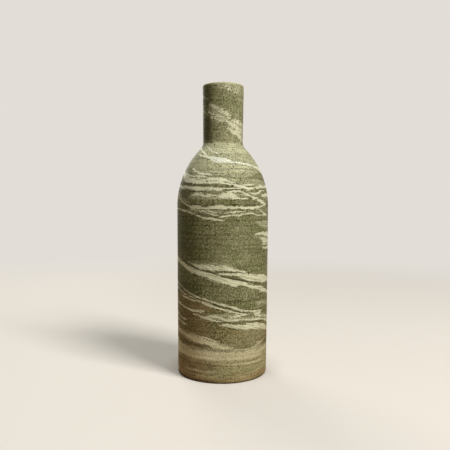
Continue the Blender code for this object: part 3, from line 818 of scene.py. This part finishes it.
def marbling_group(place_tree):
    """The pattern of the two clays: white veins, mixed bands and dark threads, and painted warm shade low
    on the left.
    """
    outputs = dict.fromkeys(("White", "Edge", "Mixed", "Dark", "Painted Shade"), FLOAT)
    bench, _, leave = new_group("marbling", (), outputs)
    vein_tree = vein_group()
    front, back, height, _, point, flow = bench.group(place_tree)
    waves = bench.drawn_out(flow, 22, 9, 1.0)
    ripples = bench.drawn_out(flow, 6, 2.6, 2.0, 0.6, 7.3)
    wavy_height = bench.times(waves, 1.1, height)
    strength = bench.times(bench.step(height, 146, 152, 1.3, 0.7), bench.step(height, 190, 176, 1.0, 0.6))
    wavy_height = bench.times(ripples, strength, wavy_height)
    frayed = bench.drawn_out(flow, 8.0, 0.8, 2.0, 0.6, 3.1)
    crumbs = bench.drawn_out(point, 1.7, 1.3, 2.0, 0.65, 21.0)
    loose = bench.step(height, 212, 236)
    upper = bench.step(height, 132, 150)
    crumbly = bench.times(upper, 0.4, bench.times(loose, 1.0, 0.65))
    frayed = bench.times(crumbs, crumbly, frayed)
    ragged = bench.times(upper, -0.6, bench.times(loose, 0.4, 2.2))
    ragged = bench.times(frayed, ragged)
    softness = bench.times(loose, 0.85, 0.15)

    def lay(turn, veins, end, below=0.0):
        """Veins of this pattern on one half of the pot."""
        return lay_veins(bench, vein_tree, turn, wavy_height, ragged, veins, end, below)

    depth = -EDGE_REACH
    for veins in FRONT_VEINS:
        depth = lay(front, veins, 1.0, depth)
    depth = lay(back, BACK_VEINS, 1.0, depth)
    white = bench.within(bench.math("DIVIDE", depth, softness))
    near = bench.step(depth, -EDGE_REACH, -0.2)
    edge = bench.times(near, bench.times(white, -1.0, 1.0))
    edge = bench.times(edge, bench.times(loose, -0.6, 1.0))
    mixed = lay(back, BACK_BANDS, BAND_SOFTNESS, lay(front, MIXED_BANDS, BAND_SOFTNESS))
    dark = lay(back, BACK_THREADS, THREAD_SOFTNESS, lay(front, DARK_THREADS, THREAD_SOFTNESS))
    bench.give(leave, white, edge, mixed, dark, lay(front, PAINTED_WARM_SHADE_BANDS, PAINTED_SHADE_SOFTNESS))
    return bench.tree


def specks_group():
    """Scattered round specks: some cells of a given size hold one."""
    bench, entry, leave = new_group("iron specks", ("Spacing", "Radius", "Share", "Shift"), {"Mask": FLOAT})
    spacing, radius, share, shift = entry
    point = bench.point()
    shifts = bench.vector(shift, shift, shift)
    moved = bench.first("ShaderNodeVectorMath", {0: point, 1: shifts}, operation="ADD")
    scale = bench.math("DIVIDE", 1.0, spacing)
    cells = bench.node("ShaderNodeTexVoronoi", {"Vector": moved, "Scale": scale}, feature="F1").outputs
    away = bench.times(cells["Distance"], spacing)
    pick = bench.node("ShaderNodeSeparateColor", {0: cells["Color"]}).outputs
    chosen = bench.math("LESS_THAN", pick[0], share)
    size = bench.times(radius, bench.times(pick[1], 0.8, 0.5))
    inward = bench.math("DIVIDE", bench.math("SUBTRACT", size, away), bench.times(size, 0.6))
    bench.give(leave, bench.times(bench.within(inward), chosen))
    return bench.tree


def painted_shading_patch(bench, turn, height, left, right, bottom, top, share):
    """How much a soft patch of painted light and shade shows, between two angles and two heights."""
    left_turn, right_turn = 0.5 + left / 360, 0.5 + right / 360
    across = bench.times(bench.step(turn, left_turn, left_turn + PATCH_FADE_TURN),
                         bench.step(turn, right_turn, right_turn - PATCH_FADE_TURN))
    along = bench.times(bench.step(height, bottom, bottom + PATCH_FADE),
                        bench.step(height, top, top - PATCH_FADE, share))
    return bench.times(across, along)


def clay_group(place_tree, marbling_tree, specks_tree):
    """The fired clay: its colour, its bump height in millimetres and how white it is."""
    bench, _, leave = new_group("marbled clay", (), {"Color": COLOUR, "Relief": FLOAT, "White": FLOAT})
    front, _, height, level, point, flow = bench.group(place_tree)
    white, edge, mixed, dark, painted_shade = bench.group(marbling_tree)

    # Green ground, browner lower down, partly the clay's own tone and partly painted warm bounce light from
    # the floor; paler on the neck, with faint streaks
    cloud = bench.noise(point, 1 / 26, 2.0)
    colour = bench.mix(bench.step(cloud, 0.35, 0.65), seen(GREEN_CLAY), seen(GREEN_CLAY_LIGHT))
    moss = bench.noise(point, 1 / 17, 1.0)
    colour = bench.paint(colour, bench.step(moss, 0.45, 0.65, 0.6), MOSS_CLAY)
    colour = bench.paint(colour, bench.step(level, 77, 69, 0.75), BROWN_CLAY_AND_BOUNCE)
    paler = bench.step(height, 262, 240, 1.0, 0.5)
    paler = bench.times(bench.step(height, 206, 220, 0.36), paler)
    colour = bench.paint(colour, paler, MIXED_CLAY)
    streaks = bench.drawn_out(flow, 13, 1.5, 3.0, 0.6, 11.7)
    colour = bench.paint(colour, bench.step(streaks, 0.12, 0.6, 0.2), WHITE_CLAY)
    colour = bench.paint(colour, bench.step(streaks, -0.1, -0.55, 0.3), DARK_CLAY)

    # Tan foot, its lightness partly painted warm bounce light from the floor, and redder at the left as
    # painted warm bounce light
    foot = bench.step(height, 31, 23)
    smears = bench.drawn_out(point, 24, 1.6, 3.0, 0.65, 31.0)
    tan = bench.times(bench.step(smears, -0.5, 0.3, 1.0, 0.2), foot)
    hue = bench.drawn_out(point, 34, 9, 2.0, 0.5, 43.0)
    toasted = bench.mix(bench.step(hue, 0.04, -0.3, 0.6), seen(TAN_CLAY), seen(RED_TAN_CLAY))
    toasted = bench.paint(toasted, bench.step(hue, -0.04, 0.26, 0.7), GREEN_TAN_CLAY)
    painted_bounce_left = bench.times(bench.step(front, 0.47, 0.39), bench.step(front, 0.06, 0.18, 0.65))
    toasted = bench.paint(toasted, painted_bounce_left, PAINTED_WARM_BOUNCE)
    colour = bench.mix(tan, colour, toasted)
    dirt = bench.times(bench.step(smears, -0.02, -0.4, 0.42), foot)
    colour = bench.paint(colour, dirt, DARK_CLAY)

    # Mixed bands, painted warm shade low on the left, white veins with a darker edge, and dark threads
    broken = bench.step(streaks, -0.45, 0.4, 0.84, 0.34)
    broken = bench.mix(bench.step(height, 39, 31, 0.85), broken, (0.95, 0.95, 0.95, 1.0))
    foot_slip = bench.mix(bench.step(front, 0.53, 0.44), seen(CREAM_SLIP), seen(PALE_SLIP))
    slip = bench.mix(bench.step(height, 54, 44), seen(MIXED_CLAY), foot_slip)
    colour = bench.mix(bench.times(mixed, broken), colour, slip)
    # Painted shade: warm brown low on the left
    colour = bench.paint(colour, bench.times(painted_shade, 0.2), PAINTED_WARM_SHADE)
    colour = bench.paint(colour, bench.times(edge, 0.4), DARK_CLAY)
    strands = bench.drawn_out(flow, 14, 1.0, 3.0, 0.7, 17.0)
    solid = bench.most(bench.step(height, 118, 140, 0.76, 0.4), bench.step(height, 50, 44, 0.94, 0.4))
    inside = bench.most(bench.step(strands, -0.02, -0.24, 0.3, 1.0), solid)
    # Painted reflection: a cool white on the veins of the shoulder collar
    collar_reflection = bench.times(bench.step(height, 197, 204), bench.step(height, 224, 216))
    collar_reflection = bench.times(collar_reflection, bench.step(front, 0.42, 0.47))
    # Painted light: the white veins on the shaded left are made whiter
    left = bench.times(bench.step(front, 0.46, 0.37), bench.step(front, 0.06, 0.18))
    cream = bench.mix(left, seen(WHITE_CLAY), seen(PAINTED_LIGHT_WHITE))
    cream = bench.paint(cream, collar_reflection, PAINTED_REFLECTION_WHITE)
    cream = bench.mix(bench.step(height, 49, 44), cream, foot_slip)
    colour = bench.mix(bench.times(white, inside), colour, cream)
    thread = bench.times(dark, bench.step(strands, 0.3, -0.15, 0.92, 0.35))
    colour = bench.paint(colour, thread, THREAD_CLAY)

    # Grain, weaker on the foot and on white
    mottled_foot = bench.times(mixed, foot)
    grain = bench.noise(point, 0.72, 1.0, 0.5)
    colour = bench.paint(colour, bench.step(grain, 0.53, 0.7, 0.5), PALE_GRAIN)
    calm = bench.times(foot, -0.4, 1.0)
    calm = bench.times(calm, bench.times(mottled_foot, -0.35, 1.0))
    murk = bench.times(bench.step(grain, 0.49, 0.31, 0.78), calm)
    less_on_white = bench.times(white, -0.7, 1.0)
    colour = bench.paint(colour, bench.times(murk, less_on_white), DARK_CLAY)

    # Fine dark and white dots in the mixed clay
    fine = bench.noise(point, 1.2, 1.0)
    mottled = bench.times(mixed, bench.times(foot, -0.6, 1.0))
    colour = bench.paint(colour, bench.times(bench.step(fine, 0.48, 0.34, 0.42), mottled), DARK_CLAY)
    colour = bench.paint(colour, bench.times(bench.step(fine, 0.52, 0.66, 0.4), mottled), WHITE_CLAY)

    # Iron specks, fewer on white and on mixed clay
    crowd = bench.step(bench.noise(point, 1 / 11, 1.0), 0.42, 0.6, 1.0, 0.35)
    big = bench.group(specks_tree, *BIG_SPECKS)[0]
    small = bench.group(specks_tree, *SMALL_SPECKS)[0]
    specks = bench.most(big, bench.times(small, 0.9))
    specks = bench.times(specks, crowd)
    specks = bench.times(specks, bench.times(white, -0.6, 0.95))
    calm_band = bench.times(mixed, bench.times(foot, -0.3, -0.25))
    specks = bench.times(specks, bench.math("ADD", calm_band, 1.0))
    colour = bench.paint(colour, specks, IRON)

    # Soft patches of painted light and shade, then a painted highlight on the lip and painted shade at the
    # edge of the foot
    wandering_turn = bench.times(cloud, 0.14, bench.math("ADD", front, -0.07))
    wandering_height = bench.times(moss, 24.0, bench.math("ADD", height, -12.0))
    # Painted shade and painted light, laid as patches of clay colour
    for clay, patches in PAINTED_SHADING_PATCHES:
        shown = 0.0
        for patch in patches:
            shown = bench.most(shown, painted_shading_patch(bench, wandering_turn, wandering_height, *patch))
        colour = bench.paint(colour, shown, clay)
    # Painted highlight: the lip's top edge paler
    colour = bench.paint(colour, bench.step(height, HEIGHT - 2.4, HEIGHT - 0.6, 0.5), MIXED_CLAY)
    # Painted shade: the lowest part of the foot browner and its bottom edge dark, where the bottle meets
    # the floor
    colour = bench.paint(colour, bench.step(height, 10, 2, 0.34), PAINTED_CONTACT_SHADE)
    colour = bench.paint(colour, bench.step(height, 2.4, 0.2, 0.4), DARK_CLAY)

    lines = bench.drawn_out(point, 60, 0.9, 2.0, 0.6, 5.0)
    relief = bench.times(lines, bench.times(foot, FOOT_LINE_DEPTH, LINE_DEPTH))
    for mask, rise in ((grain, GRAIN_RISE), (specks, -SPECK_DEPTH), (white, VEIN_RISE)):
        relief = bench.times(mask, rise, relief)
    bench.give(leave, colour, relief, white)
    return bench.tree


def new_material(name):
    """A material with an empty tree but for its shader. Gives the material, its bench and shader."""
    material = bpy.data.materials.new(name)
    material.use_nodes = True
    return material, Bench(material.node_tree), material.node_tree.nodes["Principled BSDF"]


def stoneware_finish(clay_tree):
    """Unglazed marbled stoneware, sanded smooth: matt, and the white clay a little tighter."""
    material, bench, shader = new_material("marbled stoneware")
    colour, relief, white = bench.group(clay_tree)
    bench.fill(shader, {"Base Color": colour, "Roughness": bench.times(white, -0.12, 0.56),
                        "Specular IOR Level": 0.06, "Normal": bench.bump(relief)})
    return material


def lining_finish(clay_tree, specks_tree):
    """Clear glaze over the same clay, wet and a little darker, with small pinholes."""
    material, bench, shader = new_material("clear liner glaze")
    clay = bench.group(clay_tree)
    pinholes = bench.group(specks_tree, *PINHOLES)[0]
    colour = bench.mix(1.0, clay[0], seen(GLAZE_TINT), "MULTIPLY")
    colour = bench.paint(colour, bench.times(pinholes, 0.6), IRON)
    bench.fill(shader, {"Base Color": colour, "Roughness": bench.times(pinholes, 0.3, 0.14),
                        "Normal": bench.bump(bench.times(pinholes, -PINHOLE_DEPTH))})
    return material


def looked_at(bench):
    """Whether the camera sees a point directly, and whether it sees it at all: also in or through glass."""
    rays = bench.node("ShaderNodeLightPath", {}).outputs
    camera = rays["Is Camera Ray"]
    return camera, bench.most(bench.most(camera, rays["Is Glossy Ray"]), rays["Is Transmission Ray"])


def floor_finish():
    """A pale matt floor that fades into the backdrop colour far away and throws little light back."""
    material, bench, shader = new_material("pale studio floor")
    camera, shown = looked_at(bench)
    shade = bench.mix(camera, seen(FLOOR_BOUNCE), seen(FLOOR_COLOUR))
    bench.fill(shader, {"Base Color": shade, "Roughness": 0.7, "Specular IOR Level": 0.2})
    place = bench.node("ShaderNodeTexCoord", {}).outputs["Object"]
    away = bench.node("ShaderNodeVectorMath", {0: place}, operation="LENGTH").outputs["Value"]
    far = bench.times(bench.step(away, FLOOR_FADE_START, FLOOR_FADE_END), shown)
    glow = bench.first("ShaderNodeEmission", {"Color": seen(BACKDROP_COLOUR), "Strength": 1.0})
    both = bench.first("ShaderNodeMixShader", {0: far, 1: shader.outputs[0], 2: glow})
    bench.plug(material.node_tree.nodes["Material Output"].inputs["Surface"], both)
    return material


# Studio, in metres
FLOOR_RADIUS = 6.0
FLOOR_FADE_START = 0.30
FLOOR_FADE_END = 1.1
AMBIENT = 0.03
AMBIENT_COLOUR = (1.0, 0.95, 0.82, 1)
LIGHT_AIM = (0, 0, 0.14)

# Lamps: name, place, size, power in watts and colour
LAMPS = [
    ("key lamp", (1.15, -1.05, 1.70), 0.75, 52.5, (1.0, 0.985, 0.95)),
    ("top lamp", (-0.04, -0.16, 2.3), 0.4, 17.0, (0.97, 1.0, 1.0)),
    ("back lamp", (-0.80, 1.72, 0.85), 1.0, 16.0, (1.0, 0.97, 0.88)),
]

# The camera stands where the photograph was taken from
CAMERA_PLACE = (0.0023, -0.5211, 0.1673)
CAMERA_PITCH = -2.53
CAMERA_ROLL = 0.23
CAMERA_FOCAL_PIXELS = 528.2
IMAGE_SIZE = 450


def make_floor():
    """A wide round floor that the bottle stands on."""
    mesh = bpy.data.meshes.new("floor")
    model = bmesh.new()
    bmesh.ops.create_circle(model, cap_ends=True, segments=128, radius=FLOOR_RADIUS)
    model.to_mesh(mesh)
    model.free()
    mesh.materials.append(floor_finish())
    floor = put_in_scene("floor", mesh)


def make_lamp(name, place, size, power, colour):
    """A square soft lamp aimed at the middle of the bottle."""
    lamp = bpy.data.lights.new(name, "AREA")
    lamp.shape = "SQUARE"
    lamp.size = size
    lamp.energy = power
    lamp.color = colour
    holder = put_in_scene(name, lamp)
    holder.location = place
    holder.rotation_euler = (Vector(LIGHT_AIM) - Vector(place)).to_track_quat("-Z", "Y").to_euler()


def make_world():
    """Even soft light, with a pale backdrop where the camera looks past the floor."""
    world = bpy.data.worlds.new("studio")
    world.use_nodes = True
    bpy.context.scene.world = world
    bench = Bench(world.node_tree)
    for old in list(world.node_tree.nodes):
        world.node_tree.nodes.remove(old)
    shown = looked_at(bench)[1]
    light = bench.first("ShaderNodeBackground", {"Color": AMBIENT_COLOUR, "Strength": AMBIENT})
    backdrop = bench.first("ShaderNodeBackground", {"Color": seen(BACKDROP_COLOUR), "Strength": 1.0})
    both = bench.first("ShaderNodeMixShader", {0: shown, 1: light, 2: backdrop})
    bench.node("ShaderNodeOutputWorld", {"Surface": both})


def make_camera():
    """The photograph's view, worked out from its focal length in pixels."""
    lens = bpy.data.cameras.new("camera")
    lens.sensor_width = 36
    lens.lens = CAMERA_FOCAL_PIXELS * lens.sensor_width / IMAGE_SIZE
    lens.clip_start = 0.01
    lens.clip_end = 50
    camera = put_in_scene("camera", lens)
    level = Matrix.Rotation(math.radians(90 + CAMERA_PITCH), 4, "X")
    roll = Matrix.Rotation(math.radians(CAMERA_ROLL), 4, "Z")
    camera.matrix_world = Matrix.Translation(CAMERA_PLACE) @ level @ roll
    bpy.context.scene.camera = camera


def make_bottle():
    """Both pieces of the bottle, with their finishes."""
    place_tree = place_group()
    specks_tree = specks_group()
    clay_tree = clay_group(place_tree, marbling_group(place_tree), specks_tree)

    stoneware = turned("stoneware_body", stoneware_rows(), stoneware_place)
    stoneware.data.materials.append(stoneware_finish(clay_tree))
    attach(stoneware, "root")
    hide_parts("bottle_body")

    lining = turned("glazed_lining", lining_rows(), lining_place)
    lining.data.materials.append(lining_finish(clay_tree, specks_tree))
    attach(lining, "root")
    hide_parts("liner_glaze")


def make_studio():
    """Floor, lamps, world and camera."""
    make_floor()
    make_world()
    for lamp in LAMPS:
        make_lamp(*lamp)
    make_camera()
    bpy.context.scene.view_settings.view_transform = "Standard"


make_bottle()
make_studio()
